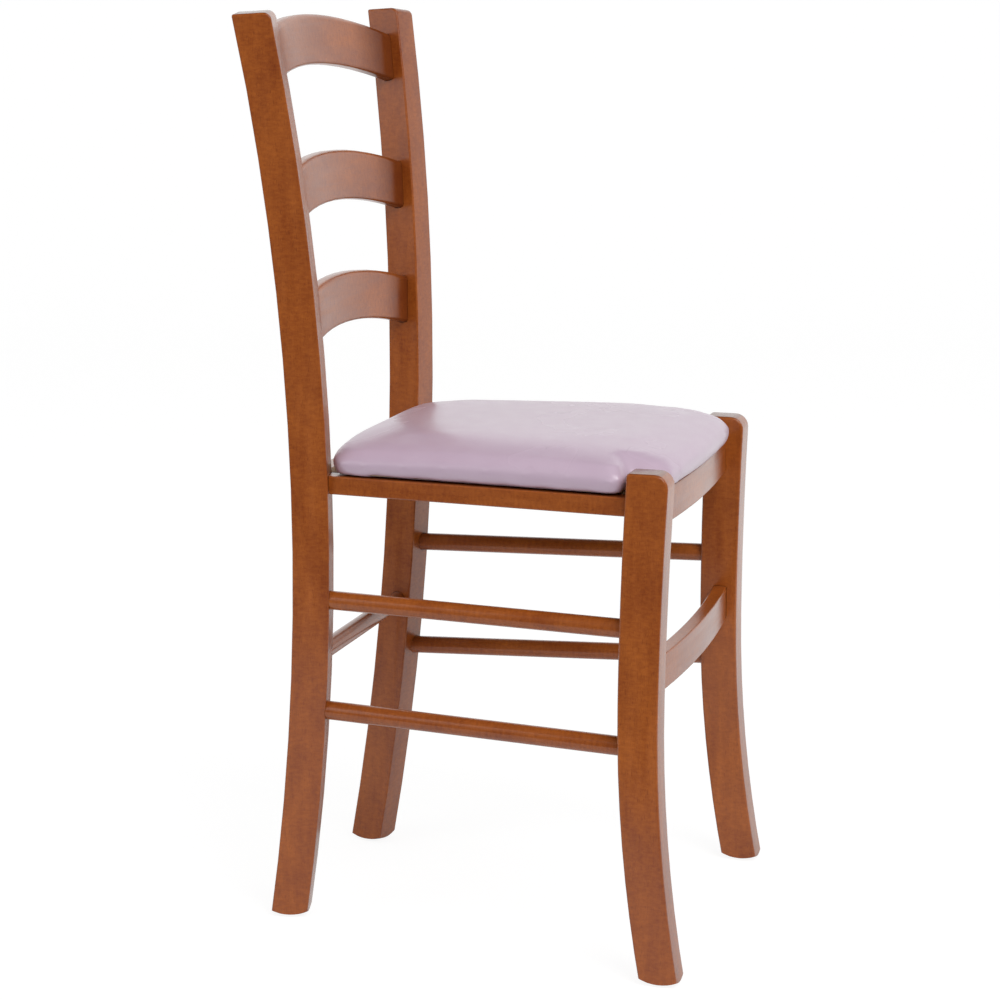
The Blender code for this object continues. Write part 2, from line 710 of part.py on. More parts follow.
def loft(rings, close_bottom):
    """Quads between rings of points, closed at the top and, if asked, at the bottom."""
    bm = bmesh.new()
    rows = [
        [bm.verts.new((x, y, z - settled(x, y, z))) for x, y, z in ring] for ring in rings
    ]
    for lower, upper in zip(rows, rows[1:]):
        for i, vert in enumerate(lower):
            after = (i + 1) % len(lower)
            bm.faces.new((vert, lower[after], upper[after], upper[i]))
    bm.faces.new(rows[-1])
    if close_bottom:
        bm.faces.new(rows[0])
    return bm


OUTLINE = pad_outline()


def edge_ring(inset, height):
    """The outline drawn in by inset, all at one height."""
    return [(x, y, height) for x, y in inset_ring(OUTLINE, inset)]


def crown_height(x, y):
    """Height of the crown over a point, by how far it lies from the middle to a side or an end."""
    side = pad_side_x(y) - PAD_CROWN_INSET
    end = PAD_REAR_Y if y > PAD_CENTRE_Y else PAD_FRONT_Y
    half = abs(end - PAD_CENTRE_Y) - PAD_CROWN_INSET
    share = ((x / side) ** 12 + ((y - PAD_CENTRE_Y) / half) ** 12) ** (1 / 12)
    return PAD_HEIGHT - (PAD_HEIGHT - PAD_SHOULDER_HEIGHT) * share**6


def crown_ring(share, skin):
    """The shoulder's ring scaled towards the middle, on the crown, and lowered by the skin."""
    ring = shrunk_ring(OUTLINE, PAD_CROWN_INSET, share)
    return [(x, y, crown_height(x, y) - skin) for x, y in ring]


def pad_rings(skin):
    """The pad from its bulge up and over the edge to its crown, drawn in by the skin."""
    return [
        edge_ring(skin, PAD_BULGE_HEIGHT),
        edge_ring(skin + 0.0008, PAD_EDGE_HEIGHT - 0.0042),
        edge_ring(skin + 0.0038, PAD_EDGE_HEIGHT - skin),
        edge_ring(skin + PAD_CROWN_INSET, PAD_SHOULDER_HEIGHT - skin),
        *[crown_ring(share, skin) for share in (0.90, 0.72, 0.45, 0.20)],
    ]


def make_cover():
    """The leatherette: crowned on top, drawn in at the sides and folded under the board."""
    rings = [
        edge_ring(COVER_FOLD_UNDER, 0.0),
        edge_ring(0.0044, 0.0),
        edge_ring(0.0026, 0.0042),
        *pad_rings(0.0),
    ]
    mesh = mesh_of(loft(rings, False), "seat_cover")
    cover = add_object("seat_cover", mesh, LEATHERETTE, SEAT)
    cover.location = (0, 0, PAD_BASE)
    shell = cover.modifiers.new("leatherette", "SOLIDIFY")
    shell.thickness = COVER_THICKNESS
    shell.offset = -1.0
    cover.data.shade_smooth()
    return cover


def make_foam():
    """The foam, from the top of the board to just under the leatherette."""
    skin = COVER_THICKNESS + CLEARANCE
    rings = [
        edge_ring(BOARD_INSET, FOAM_BASE),
        edge_ring(skin + 0.0020, FOAM_BASE + 0.0014),
        *pad_rings(skin + 0.0012)[1:],
    ]
    mesh = mesh_of(loft(rings, True), "seat_foam")
    foam = add_object("seat_foam", mesh, FOAM, SEAT)
    foam.location = (0, 0, PAD_BASE)
    foam.data.shade_smooth()
    return foam


def make_flat_panel(name, look, inset, base, thickness):
    bm = plate_mesh(name, inset_ring(OUTLINE, inset), thickness)
    bmesh.ops.translate(bm, vec=(0, 0, base + thickness / 2), verts=bm.verts)
    return add_object(name, mesh_of(bm, name), look, SEAT)


# Corner blocks and screws

def screw_profile(length, grow):
    """Half section of a countersunk screw as (radius, z), head at the top, tip down the axis."""
    shank = SCREW_SHANK_DIAMETER / 2 + grow
    head = SCREW_HEAD_DIAMETER / 2 + grow
    tip = -length - grow
    return [
        (0.0, grow),
        (head, grow),
        (head, -SCREW_HEAD_HEIGHT * 0.2),
        (shank, -SCREW_HEAD_HEIGHT - grow),
        (shank, tip + 2 * shank),
        (0.0, tip),
    ]


def make_screw(name, length, head, direction, look, grow=0.0):
    """A screw whose head lies at head and whose tip points along direction, in the seat's frame."""
    screw = make_turned(name, screw_profile(length, grow), SCREW_SIDES, look, SEAT)
    screw.location = head
    screw.rotation_quaternion = (-Vector(direction)).to_track_quat("Z", "Y")
    return screw


def line_crossing(point_a, along_a, point_b, along_b):
    cross = along_a.x * along_b.y - along_a.y * along_b.x
    gap = point_b - point_a
    return point_a + along_a * ((gap.x * along_b.y - gap.y * along_b.x) / cross)


def block_corner(side, end):
    """Where the inner faces of two rails meet, and the directions along them, away from the leg."""
    rear, front = side_rail_line(side)
    along = (front - rear).normalized().to_2d()
    inward = Vector((along.y, -along.x))
    if inward.x * side > 0:
        inward = -inward
    side_point = rear.to_2d() + inward * (SIDE_RAIL_THICKNESS / 2 + CLEARANCE)
    if end == "rear":
        cross_y = REAR_RAIL_Y - REAR_RAIL_THICKNESS / 2 - CLEARANCE
        side_way = along
    else:
        cross_y = FRONT_RAIL_FACE_Y + FRONT_RAIL_THICKNESS + FRONT_RAIL_BOW + CLEARANCE
        side_way = -along
    corner = line_crossing(side_point, along, Vector((0, cross_y)), Vector((1, 0)))
    return corner, side_way, Vector((-side, 0))


def make_corner_block(name, side, end, look):
    """A glue block across the corner of two rails, its top just under the pad's cloth."""
    corner, side_way, cross_way = block_corner(side, end)
    tip = BLOCK_LEG * BLOCK_TIP
    outline = [
        corner,
        corner + side_way * BLOCK_LEG,
        corner + side_way * BLOCK_LEG + cross_way * tip,
        corner + cross_way * BLOCK_LEG + side_way * tip,
        corner + cross_way * BLOCK_LEG,
    ]
    bm = plate_mesh(name, [tuple(p) for p in outline], BLOCK_HEIGHT)
    bmesh.ops.translate(bm, vec=(0, 0, -BLOCK_HEIGHT / 2), verts=bm.verts)
    return add_object(name, mesh_of(bm, name), look, SEAT)


def block_screws(side, end):
    """(head, direction, length) of a block's screws: one into each rail, one up into the board."""
    corner, side_way, cross_way = block_corner(side, end)
    screws = []
    for way, across in ((side_way, cross_way), (cross_way, side_way)):
        foot = corner + way * BLOCK_LEG * BLOCK_SCREW_PLACE
        reach = BLOCK_LEG * (1 - BLOCK_SCREW_PLACE + BLOCK_TIP / 2) - SCREW_SUNK
        head = (foot + across * reach).to_3d()
        head.z = -BLOCK_HEIGHT / 2
        screws.append((head, -across.to_3d(), BLOCK_SCREW_LENGTH))
    inner = (cross_way + side_way).normalized()
    head = (corner + inner * BLOCK_LEG * SEAT_SCREW_PLACE).to_3d()
    head.z = SCREW_SUNK - BLOCK_HEIGHT
    screws.append((head, Vector((0, 0, 1)), SEAT_SCREW_LENGTH))
    return screws


# Assembly

def build_legs():
    legs = {}
    envelopes = {}
    for word, side in SIDES.items():
        legs["front", word] = make_front_leg(f"front_leg_{word}", side, CHERRY)
        legs["rear", word] = make_rear_post(f"rear_post_{word}", side, CHERRY)
        envelopes["front", word] = make_front_leg(f"front_leg_{word}_faces", side, None, CLEARANCE)
        envelopes["rear", word] = make_rear_post(f"rear_post_{word}_faces", side, None, CLEARANCE)
    return legs, envelopes


def build_slats(legs):
    """The slats, seated in the posts. The last of them, the top one, is returned."""
    for place, share in SLAT_PLACES.items():
        height = SEAT_FRAME_HEIGHT + share * (CHAIR_HEIGHT - SEAT_FRAME_HEIGHT)
        slat = make_slat(f"back_slat_{place}", height, CHERRY)
        socket = make_slat(f"back_slat_{place}_socket", height, None, CLEARANCE)
        for word in SIDES:
            combine(legs["rear", word], socket, "DIFFERENCE")
    return slat


def build_rods(legs):
    levels = {
        "upper": (UPPER_ROD_REAR_HEIGHT, UPPER_ROD_FRONT_HEIGHT),
        "lower": (LOWER_ROD_REAR_HEIGHT, LOWER_ROD_FRONT_HEIGHT),
    }
    for level, (rear_z, front_z) in levels.items():
        for word, side in SIDES.items():
            rear = rear_post_centre(rear_z, side)
            front = front_leg_centre(front_z, side)
            along = (front - rear).normalized()
            rear_face = rear + along * REAR_POST_DEPTH / 2
            front_face = front - along * front_leg_depth(front_z) / 2
            start = rear_face - along * ROD_END_DEPTH
            end = front_face + along * ROD_END_DEPTH
            name = f"side_rod_{level}_{word}"
            make_rod(name, start, end, CHERRY)
            socket = make_rod(name + "_socket", start, end, None, CLEARANCE)
            combine(legs["rear", word], socket, "DIFFERENCE")
            combine(legs["front", word], socket, "DIFFERENCE")
    post = rear_post_centre(REAR_ROD_HEIGHT)
    inner_face = post.x - REAR_POST_WIDTH / 2 * math.cos(REAR_POST_TURN)
    end = Vector((inner_face + ROD_END_DEPTH, post.y, REAR_ROD_HEIGHT))
    start = Vector((-end.x, end.y, end.z))
    make_rod("rear_rod", start, end, CHERRY)
    socket = make_rod("rear_rod_socket", start, end, None, CLEARANCE)
    for word in SIDES:
        combine(legs["rear", word], socket, "DIFFERENCE")


def build_front_stretcher(legs):
    z = FRONT_STRETCHER_MIDDLE
    inner_x = front_leg_centre_x(z) - FRONT_LEG_WIDTH / 2
    face_y = front_leg_centre_y(z) - front_leg_depth(z) / 2 + FRONT_STRETCHER_SETBACK
    bow = circle_drop(inner_x, FRONT_BOW_RADIUS)
    for name, look, grow in (
        ("front_stretcher", CHERRY, 0.0), ("front_stretcher_socket", None, CLEARANCE),
    ):
        board = make_bent_board(
            name, look, inner_x + SLAT_END_DEPTH, FRONT_STRETCHER_THICKNESS, FRONT_STRETCHER_HEIGHT,
            -FRONT_BOW_RADIUS, 4 * (RAIL_EDGE_RADIUS,), grow=grow,
        )
        board.location = (0, face_y - bow + FRONT_STRETCHER_THICKNESS / 2, z)
    for word in SIDES:
        combine(legs["front", word], board, "DIFFERENCE")


def build_seat_frame(legs, envelopes):
    rails = {}
    past_face = SIDE_RAIL_THICKNESS / 4
    tenon_height = SIDE_RAIL_HEIGHT - 2 * TENON_SHOULDER
    for word, side in SIDES.items():
        name = f"side_seat_rail_{word}"
        rail = make_side_rail_bar(
            name, side, CHERRY, past_face, SIDE_RAIL_THICKNESS, SIDE_RAIL_HEIGHT
        )
        soften(rail, RAIL_EDGE_RADIUS)
        tenon = make_side_rail_bar(
            name + "_tenon", side, None, TENON_LENGTH, TENON_THICKNESS, tenon_height
        )
        socket = make_side_rail_bar(
            name + "_socket", side, None, TENON_LENGTH, TENON_THICKNESS, tenon_height, CLEARANCE
        )
        tenoned(rail, tenon, (envelopes["rear", word], envelopes["front", word]))
        combine(legs["rear", word], socket, "DIFFERENCE")
        combine(legs["front", word], socket, "DIFFERENCE")
        rails[word] = rail

    rear = make_rear_rail_bar(
        "rear_seat_rail", CHERRY, past_face, REAR_RAIL_THICKNESS, SIDE_RAIL_HEIGHT
    )
    soften(rear, RAIL_EDGE_RADIUS)
    tenon = make_rear_rail_bar(
        "rear_seat_rail_tenon", None, TENON_LENGTH, TENON_THICKNESS, tenon_height
    )
    socket = make_rear_rail_bar(
        "rear_seat_rail_socket", None, TENON_LENGTH, TENON_THICKNESS, tenon_height, CLEARANCE
    )
    tenoned(rear, tenon, [envelopes["rear", word] for word in SIDES])
    for word in SIDES:
        combine(legs["rear", word], socket, "DIFFERENCE")
    rails["rear"] = rear

    front = make_front_rail_bar(
        "front_seat_rail", CHERRY, past_face, FRONT_RAIL_THICKNESS, FRONT_RAIL_HEIGHT, 0.0
    )
    inner_height = FRONT_RAIL_HEIGHT - 2 * TENON_SHOULDER
    tenon = make_front_rail_bar(
        "front_seat_rail_tenon", None, TENON_LENGTH, TENON_THICKNESS, inner_height, TENON_SHOULDER
    )
    socket = make_front_rail_bar(
        "front_seat_rail_socket", None, TENON_LENGTH, TENON_THICKNESS, inner_height,
        TENON_SHOULDER, CLEARANCE,
    )
    tenoned(front, tenon, [envelopes["front", word] for word in SIDES])
    for word in SIDES:
        combine(legs["front", word], socket, "DIFFERENCE")
    rails["front"] = front
    return rails


def build_pad():
    """The pad's pieces. Those that the seat screws pass are returned."""
    cover = make_cover()
    make_foam()
    board = make_flat_panel(
        "seat_board", PLYWOOD, BOARD_INSET, PAD_BASE + BOARD_BASE, BOARD_THICKNESS
    )
    cloth = make_flat_panel(
        "seat_bottom_cloth", BLACK_CLOTH, CLOTH_MARGIN, CLEARANCE, CLOTH_THICKNESS
    )
    return cover, board, cloth


def build_corner_blocks(rails, envelopes, pad_layers):
    drills = bpy.data.collections.new("screw_holes")
    CUTTERS.children.link(drills)
    for end in ("front", "rear"):
        for word, side in SIDES.items():
            block = make_corner_block(f"corner_block_{end}_{word}", side, end, RAW_BEECH)
            combine(block, envelopes[end, word], "DIFFERENCE")
            uses = ("side", "cross", "seat")
            for use, (head, direction, length) in zip(uses, block_screws(side, end)):
                name = f"{use}_screw_{end}_{word}"
                make_screw(name, length, head, direction, ZINC)
                drill = make_screw(name + "_hole", length, head, direction, None, CLEARANCE)
                CUTTERS.objects.unlink(drill)
                drills.objects.link(drill)
            cut_all(block, drills)
    for piece in (*rails.values(), *pad_layers):
        cut_all(piece, drills)


def centre_chair(top_slat):
    """Stands the chair on the floor, with the origin halfway between its toes and its top slat."""
    toe = FRONT_WAIST_Y - FRONT_LEG_KICK - FRONT_LEG_FOOT_DEPTH / 2
    lean = -top_slat.rotation_euler.x
    reach = (
        (SLAT_THICKNESS / 2 - SLAT_TOP_BACK_RADIUS) * math.cos(lean)
        + (SLAT_HEIGHT / 2 - SLAT_TOP_BACK_RADIUS) * math.sin(lean)
        + SLAT_TOP_BACK_RADIUS
    )
    CHAIR.location = (0, -(toe + top_slat.location.y + reach) / 2, FOOT_DROP)


def main():
    legs, envelopes = build_legs()
    top_slat = build_slats(legs)
    centre_chair(top_slat)
    build_rods(legs)
    build_front_stretcher(legs)
    rails = build_seat_frame(legs, envelopes)
    pad_layers = build_pad()
    build_corner_blocks(rails, envelopes, pad_layers)


main()
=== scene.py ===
"""The looks of an upholstered wooden chair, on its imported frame.

Metres, +Z up, the chair's front towards -Y. The camera stands on the sitter's right, a little in front.
"""

import json
import math

import bmesh
import bpy
import numpy as np
from mathutils import Matrix, Vector, noise

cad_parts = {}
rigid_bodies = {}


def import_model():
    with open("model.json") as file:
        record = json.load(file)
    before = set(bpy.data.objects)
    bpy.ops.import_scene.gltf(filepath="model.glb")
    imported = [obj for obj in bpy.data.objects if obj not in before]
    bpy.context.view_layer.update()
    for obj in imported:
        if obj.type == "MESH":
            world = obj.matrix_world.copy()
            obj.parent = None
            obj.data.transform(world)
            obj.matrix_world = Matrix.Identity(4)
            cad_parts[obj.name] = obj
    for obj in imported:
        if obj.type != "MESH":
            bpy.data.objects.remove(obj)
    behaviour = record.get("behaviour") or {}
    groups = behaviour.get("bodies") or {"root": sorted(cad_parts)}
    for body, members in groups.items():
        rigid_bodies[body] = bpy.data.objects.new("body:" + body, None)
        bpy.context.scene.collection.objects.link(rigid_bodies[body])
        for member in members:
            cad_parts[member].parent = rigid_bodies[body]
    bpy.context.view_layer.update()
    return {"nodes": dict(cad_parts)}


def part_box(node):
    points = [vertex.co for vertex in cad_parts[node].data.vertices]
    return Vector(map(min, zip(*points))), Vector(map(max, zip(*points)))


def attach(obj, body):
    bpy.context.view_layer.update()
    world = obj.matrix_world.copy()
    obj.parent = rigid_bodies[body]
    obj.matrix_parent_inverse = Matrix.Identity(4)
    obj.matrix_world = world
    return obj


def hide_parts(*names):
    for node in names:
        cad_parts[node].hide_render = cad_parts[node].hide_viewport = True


for startup_object in list(bpy.data.objects):
    bpy.data.objects.remove(startup_object)

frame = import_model()
NODES = frame["nodes"]
SOFT = ("seat_cover", "seat_foam", "seat_bottom_cloth")
PIECES = bpy.data.collections.new("chair_pieces")
bpy.context.scene.collection.children.link(PIECES)

# The camera of the photograph
CAMERA_PLACE = (-2.3666, -0.7071, 0.8976)
CAMERA_TURN = (81.35, 0.0, -71.82)
CAMERA_LENS = 91.8
CAMERA_SHIFT = (0.0581, -0.1188)

# Light
AMBIENT = 0.56
AMBIENT_IN_GLOSS = 0.04
KEY_PLACE = (-1.6, -1.9, 2.9)
KEY_SIZE = 2.2
KEY_POWER = 76.0
FILL_PLACE = (-2.0, 2.4, 1.7)
FILL_SIZE = 1.8
FILL_POWER = 14.0
LAMP_TARGET = (0.0, 0.0, 0.45)

# The paper sweep, along the camera's direction: flat to its reach, then a quarter turn up
SWEEP_NEAR_EDGE = -0.75
SWEEP_MIDDLE = 1.0
SWEEP_REACH = 4.0
SWEEP_BEND = 1.2
SWEEP_HALF_WIDTH = 12.0
SWEEP_HEIGHT = 4.4
FLOOR_GAP = 0.0004
PAPER = (0.86, 0.86, 0.86)
PAPER_GLOW = 0.80
PAPER_GLOW_STRENGTH = 1.13
GLOW_FADE = (0.0, 1.6)
GLOW_NEAR = 0.15

# The lacquered beech: two browns of the stain, and the tones of pores and end grain
STAIN_LIGHT = (0.455, 0.122, 0.0165)
STAIN_DARK = (0.225, 0.044, 0.0070)
PORE = (0.100, 0.017, 0.004)
END_GRAIN = (0.120, 0.027, 0.006)
END_GRAIN_SHARE = 0.7
# Lighter rounded edges: partly worn stain, partly a painted highlight
WORN_AND_HIGHLIT_EDGE = (0.430, 0.140, 0.035)
WORN_AND_HIGHLIT_EDGE_RADIUS = 0.0016
WOOD_ROUGHNESS = (0.34, 0.48)
LACQUER_ROUGHNESS = (0.17, 0.27)
LACQUER_IOR = 1.48
WOOD_SPECULAR = 0.12

# Painted shadow darkening the back slats towards their ends beside the posts, by distance from the
# chair's middle; their lacquer coat is thinner there too, which dims the reflection
SLAT_END_SHADOW = (0.100, 0.018, 0.005)
SLAT_END_FADE = (0.095, 0.140)
SLAT_END_SHADE = 0.70
SLAT_END_COAT = 0.45

# The other finishes
LILAC = (0.610, 0.470, 0.582)
LILAC_SHADE = (0.558, 0.416, 0.527)
BARE_BEECH = (0.560, 0.370, 0.210)
BARE_BEECH_DARK = (0.430, 0.260, 0.130)
PLY_LIGHT = (0.600, 0.440, 0.260)
PLY_DARK = (0.450, 0.300, 0.150)
LINING = (0.014, 0.014, 0.016)
LINING_FIBRE = (0.035, 0.035, 0.038)
ZINC = (0.600, 0.580, 0.530)
ZINC_DARK = (0.470, 0.450, 0.400)

# Where most of a noise texture's values lie
SPAN = (0.3, 0.7)

# Welding distances, the angle up to which faces merge, and the angles from which edges stay sharp
WELD = 0.00001
PIECE_WELD = 0.00002
FLAT_ANGLE = math.radians(0.4)
SHARP_ANGLE = math.radians(38)
PAD_SHARP_ANGLE = math.radians(60)

# The cushion
PAD_VOXEL = 0.0035
PAD_SHRINK = 0.0025
PAD_PRESSURE = 4.0
PAD_MOST_MOVE = 0.0008
PAD_EVENING = 7
CROWN_EVENING = 30
CROWN_UPWARD = 0.93
CROWN_UPWARD_FADE = 0.055
PAD_FRAMES = 20
PAD_HELD_HEIGHT = 0.006
HEM_HEIGHT = 0.009
HEM_WAVE = 0.0008
HEM_WAVES_PER_METRE = 42
HEM_DRAWN_IN = 0.8
PAD_UNEVENNESS = 0.0003
PAD_WAVES_PER_METRE = 17
BOARD_CLEARANCE = 0.0004
OPENING_DEPTH = 0.006
OPENING_SHARE = 0.84
SEAT_SLOPE = math.radians(0.4)

# The lining under the seat
LINING_RINGS = 16
LINING_SAG = 0.0022

# Which way the grain runs in each wooden piece
GRAIN = {
    "rear_post": "Z",
    "front_leg": "Z",
    "back_slat": "X",
    "front_seat_rail": "X",
    "rear_seat_rail": "X",
    "front_stretcher": "X",
    "rear_rod": "X",
    "side_seat_rail": "Y",
    "side_rod": "Y",
}


def new_object(name, mesh):
    obj = bpy.data.objects.new(name, mesh)
    PIECES.objects.link(obj)
    return obj


def add_to_scene(name, data):
    obj = bpy.data.objects.new(name, data)
    bpy.context.scene.collection.objects.link(obj)
    return obj


def welded(*nodes, distance=WELD):
    """A bmesh of CAD nodes, with the doubled points of their triangles joined."""
    bm = bmesh.new()
    for node in nodes:
        bm.from_mesh(NODES[node].data)
    bmesh.ops.remove_doubles(bm, verts=bm.verts, dist=distance)
    return bm


def mesh_of(bm, name):
    mesh = bpy.data.meshes.new(name)
    bm.to_mesh(mesh)
    bm.free()
    return mesh


def bake(obj):
    """Makes the modified shape the object's own mesh."""
    graph = bpy.context.evaluated_depsgraph_get()
    mesh = bpy.data.meshes.new_from_object(obj.evaluated_get(graph))
    obj.modifiers.clear()
    obj.data = mesh


def points_of(mesh):
    points = np.empty(len(mesh.vertices) * 3)
    mesh.vertices.foreach_get("co", points)
    return points.reshape(-1, 3)


def set_points(mesh, points):
    mesh.vertices.foreach_set("co", points.ravel())
    mesh.update()


def normals_of(mesh):
    normals = np.empty(len(mesh.vertices) * 3)
    mesh.vertices.foreach_get("normal", normals)
    return normals.reshape(-1, 3)


def edge_ends(mesh):
    """The two vertex numbers of each edge."""
    ends = np.empty(len(mesh.edges) * 2, np.int32)
    mesh.edges.foreach_get("vertices", ends)
    return ends.reshape(-1, 2)


def evened(values, ends, rounds):
    """Draws each vertex's row of values halfway to its neighbours' mean, round after round."""
    count = np.bincount(ends.ravel(), minlength=len(values))[:, None]
    for _ in range(rounds):
        total = np.zeros_like(values)
        np.add.at(total, ends[:, 0], values[ends[:, 1]])
        np.add.at(total, ends[:, 1], values[ends[:, 0]])
        values = 0.5 * values + 0.5 * total / count
    return values


# Shader helpers

class Nodes:
    """Short calls for building one material's node tree."""

    def __init__(self, name):
        self.material = bpy.data.materials.new(name)
        self.material.use_nodes = True
        self.tree = self.material.node_tree
        self.shader = self.tree.nodes["Principled BSDF"]

    def add(self, kind, **settings):
        node = self.tree.nodes.new(kind)
        for key, value in settings.items():
            setattr(node, key, value)
        return node

    def link(self, source, target):
        self.tree.links.new(source, target)

    def axis(self, name):
        """One coordinate in the object's own space, in metres."""
        where = self.add("ShaderNodeTexCoord")
        axes = self.add("ShaderNodeSeparateXYZ")
        self.link(where.outputs["Object"], axes.inputs[0])
        return axes.outputs[name]

    def place(self, offset, scale):
        """Coordinates in the chair's own space, in metres, scaled for one texture."""
        where = self.add("ShaderNodeTexCoord")
        mapping = self.add("ShaderNodeMapping")
        mapping.inputs["Location"].default_value = offset
        mapping.inputs["Scale"].default_value = scale
        self.link(where.outputs["Object"], mapping.inputs["Vector"])
        return mapping.outputs["Vector"]

    def noise(self, vector, detail, roughness=0.5, distortion=0.0):
        node = self.add("ShaderNodeTexNoise")
        node.inputs["Scale"].default_value = 1.0
        node.inputs["Detail"].default_value = detail
        node.inputs["Roughness"].default_value = roughness
        node.inputs["Distortion"].default_value = distortion
        self.link(vector, node.inputs["Vector"])
        return node.outputs["Fac"]

    def remap(self, value, low, high, to_low=0.0, to_high=1.0):
        node = self.add("ShaderNodeMapRange")
        node.inputs["From Min"].default_value = low
        node.inputs["From Max"].default_value = high
        node.inputs["To Min"].default_value = to_low
        node.inputs["To Max"].default_value = to_high
        self.link(value, node.inputs["Value"])
        return node.outputs["Result"]

    def math(self, operation, a, b):
        node = self.add("ShaderNodeMath", operation=operation)
        for slot, value in zip(node.inputs, (a, b)):
            if isinstance(value, (int, float)):
                slot.default_value = value
            else:
                self.link(value, slot)
        return node.outputs["Value"]

    def mix(self, factor, a, b):
        node = self.add("ShaderNodeMix", data_type="RGBA")
        slots = [s for s in node.inputs if s.type == "RGBA"]
        self.link(factor, node.inputs[0])
        for slot, value in zip(slots, (a, b)):
            if isinstance(value, tuple):
                slot.default_value = (*value, 1.0)
            else:
                self.link(value, slot)
        return [s for s in node.outputs if s.type == "RGBA"][0]

    def bump(self, height, distance, strength, under=None):
        node = self.add("ShaderNodeBump")
        node.inputs["Distance"].default_value = distance
        node.inputs["Strength"].default_value = strength
        self.link(height, node.inputs["Height"])
        if under is not None:
            self.link(under, node.inputs["Normal"])
        return node.outputs["Normal"]

    def set(self, **values):
        """Sets the shader's sockets; a name's underscores stand for spaces."""
        for key, value in values.items():
            slot = self.shader.inputs[key.replace("_", " ")]
            if isinstance(value, bpy.types.NodeSocket):
                self.link(value, slot)
            else:
                slot.default_value = value


def along(axis, fine, coarse):
    """Texture scale that is coarse along the grain and fine across it."""
    return tuple(coarse if a == axis else fine for a in "XYZ")


def edge_mask(mat, radius):
    """Near 1 on rounded edges, 0 on flat faces."""
    bevel = mat.add("ShaderNodeBevel", samples=6)
    bevel.inputs["Radius"].default_value = radius
    geometry = mat.add("ShaderNodeNewGeometry")
    dot = mat.add("ShaderNodeVectorMath", operation="DOT_PRODUCT")
    mat.link(bevel.outputs["Normal"], dot.inputs[0])
    mat.link(geometry.outputs["Normal"], dot.inputs[1])
    return mat.remap(dot.outputs["Value"], 1.0, 0.86)


def end_mask(mat, axis):
    """1 on the end grain, where the surface faces along the grain."""
    geometry = mat.add("ShaderNodeNewGeometry")
    dot = mat.add("ShaderNodeVectorMath", operation="DOT_PRODUCT")
    dot.inputs[1].default_value = tuple(float(a == axis) for a in "XYZ")
    mat.link(geometry.outputs["True Normal"], dot.inputs[0])
    size = mat.math("ABSOLUTE", dot.outputs["Value"], 0.0)
    return mat.remap(size, 0.80, 0.97)


def painted_end_shadow(mat):
    """How much painted shadow darkens a slat towards its two ends, beside the posts."""
    sideways = mat.math("ABSOLUTE", mat.axis("X"), 0.0)
    return mat.remap(sideways, *SLAT_END_FADE, 0.0, SLAT_END_SHADE)


def stained_beech(name, axis, seed):
    """Beech under a reddish stain and satin lacquer, its grain along one axis."""
    mat = Nodes(name)
    mat.set(Coat_Weight=1.0)
    offset = (0.37 * seed, 0.61 * seed, 0.23 * seed)
    cloud = mat.noise(mat.place(offset, along(axis, 26, 13)), detail=4, roughness=0.55, distortion=0.6)
    band = mat.noise(mat.place(offset, along(axis, 60, 7)), detail=3, distortion=0.3)
    streak = mat.noise(mat.place(offset, along(axis, 190, 9)), detail=5, roughness=0.6)
    ripple = mat.noise(mat.place(offset, along(axis, 150, 360)), detail=3, roughness=0.65)
    fleck = mat.noise(mat.place(offset, along(axis, 1300, 170)), detail=2, roughness=0.55)
    tone = mat.remap(cloud, 0.32, 0.68, 0.0, 0.42)
    tone = mat.math("ADD", tone, mat.remap(band, *SPAN, 0.0, 0.22))
    tone = mat.math("ADD", tone, mat.remap(streak, 0.30, 0.72, 0.0, 0.20))
    tone = mat.math("ADD", tone, mat.remap(ripple, *SPAN, -0.12, 0.28))
    colour = mat.mix(tone, STAIN_DARK, STAIN_LIGHT)
    pores = mat.remap(fleck, 0.57, 0.74, 0.0, 0.42)
    colour = mat.mix(pores, colour, PORE)
    ends = mat.math("MULTIPLY", end_mask(mat, axis), END_GRAIN_SHARE)
    colour = mat.mix(ends, colour, END_GRAIN)
    # Back slats: painted shadow towards both ends, and a thinner coat there to dim their reflection
    if name.startswith("back_slat"):
        shade = painted_end_shadow(mat)
        colour = mat.mix(shade, colour, SLAT_END_SHADOW)
        mat.set(Coat_Weight=mat.remap(shade, 0.0, SLAT_END_SHADE, 1.0, SLAT_END_COAT))
    # Rounded edges lightened unevenly: partly worn stain, partly painted highlight
    wear_and_highlight = mat.remap(cloud, 0.40, 0.66, 0.05, 0.28)
    worn_and_highlit = mat.math("MULTIPLY", edge_mask(mat, WORN_AND_HIGHLIT_EDGE_RADIUS), wear_and_highlight)
    colour = mat.mix(worn_and_highlit, colour, WORN_AND_HIGHLIT_EDGE)
    normal = mat.bump(fleck, 0.00010, 0.30)
    normal = mat.bump(streak, 0.00022, 0.30, under=normal)
    mat.set(Base_Color=colour, Roughness=mat.remap(streak, 0.3, 0.75, *WOOD_ROUGHNESS), Normal=normal)
    mat.set(Specular_IOR_Level=WOOD_SPECULAR, Coat_IOR=LACQUER_IOR)
    mat.set(Coat_Roughness=mat.remap(band, *SPAN, *LACQUER_ROUGHNESS), Coat_Normal=normal)
    return mat.material


def bare_beech(name, axis, seed):
    """Unfinished beech: pale, matt, with short dark flecks."""
    mat = Nodes(name)
    offset = (0.31 * seed, 0.17 * seed, 0.53 * seed)
    streak = mat.noise(mat.place(offset, along(axis, 160, 6)), detail=4, roughness=0.6)
    fleck = mat.noise(mat.place(offset, along(axis, 1100, 160)), detail=2)
    colour = mat.mix(mat.remap(streak, 0.3, 0.75), BARE_BEECH_DARK, BARE_BEECH)
    colour = mat.mix(mat.remap(fleck, 0.60, 0.74, 0.0, 0.6), colour, BARE_BEECH_DARK)
    mat.set(Base_Color=colour, Roughness=mat.remap(streak, *SPAN, 0.62, 0.78))
    mat.set(Normal=mat.bump(fleck, 0.0002, 0.5))
    return mat.material


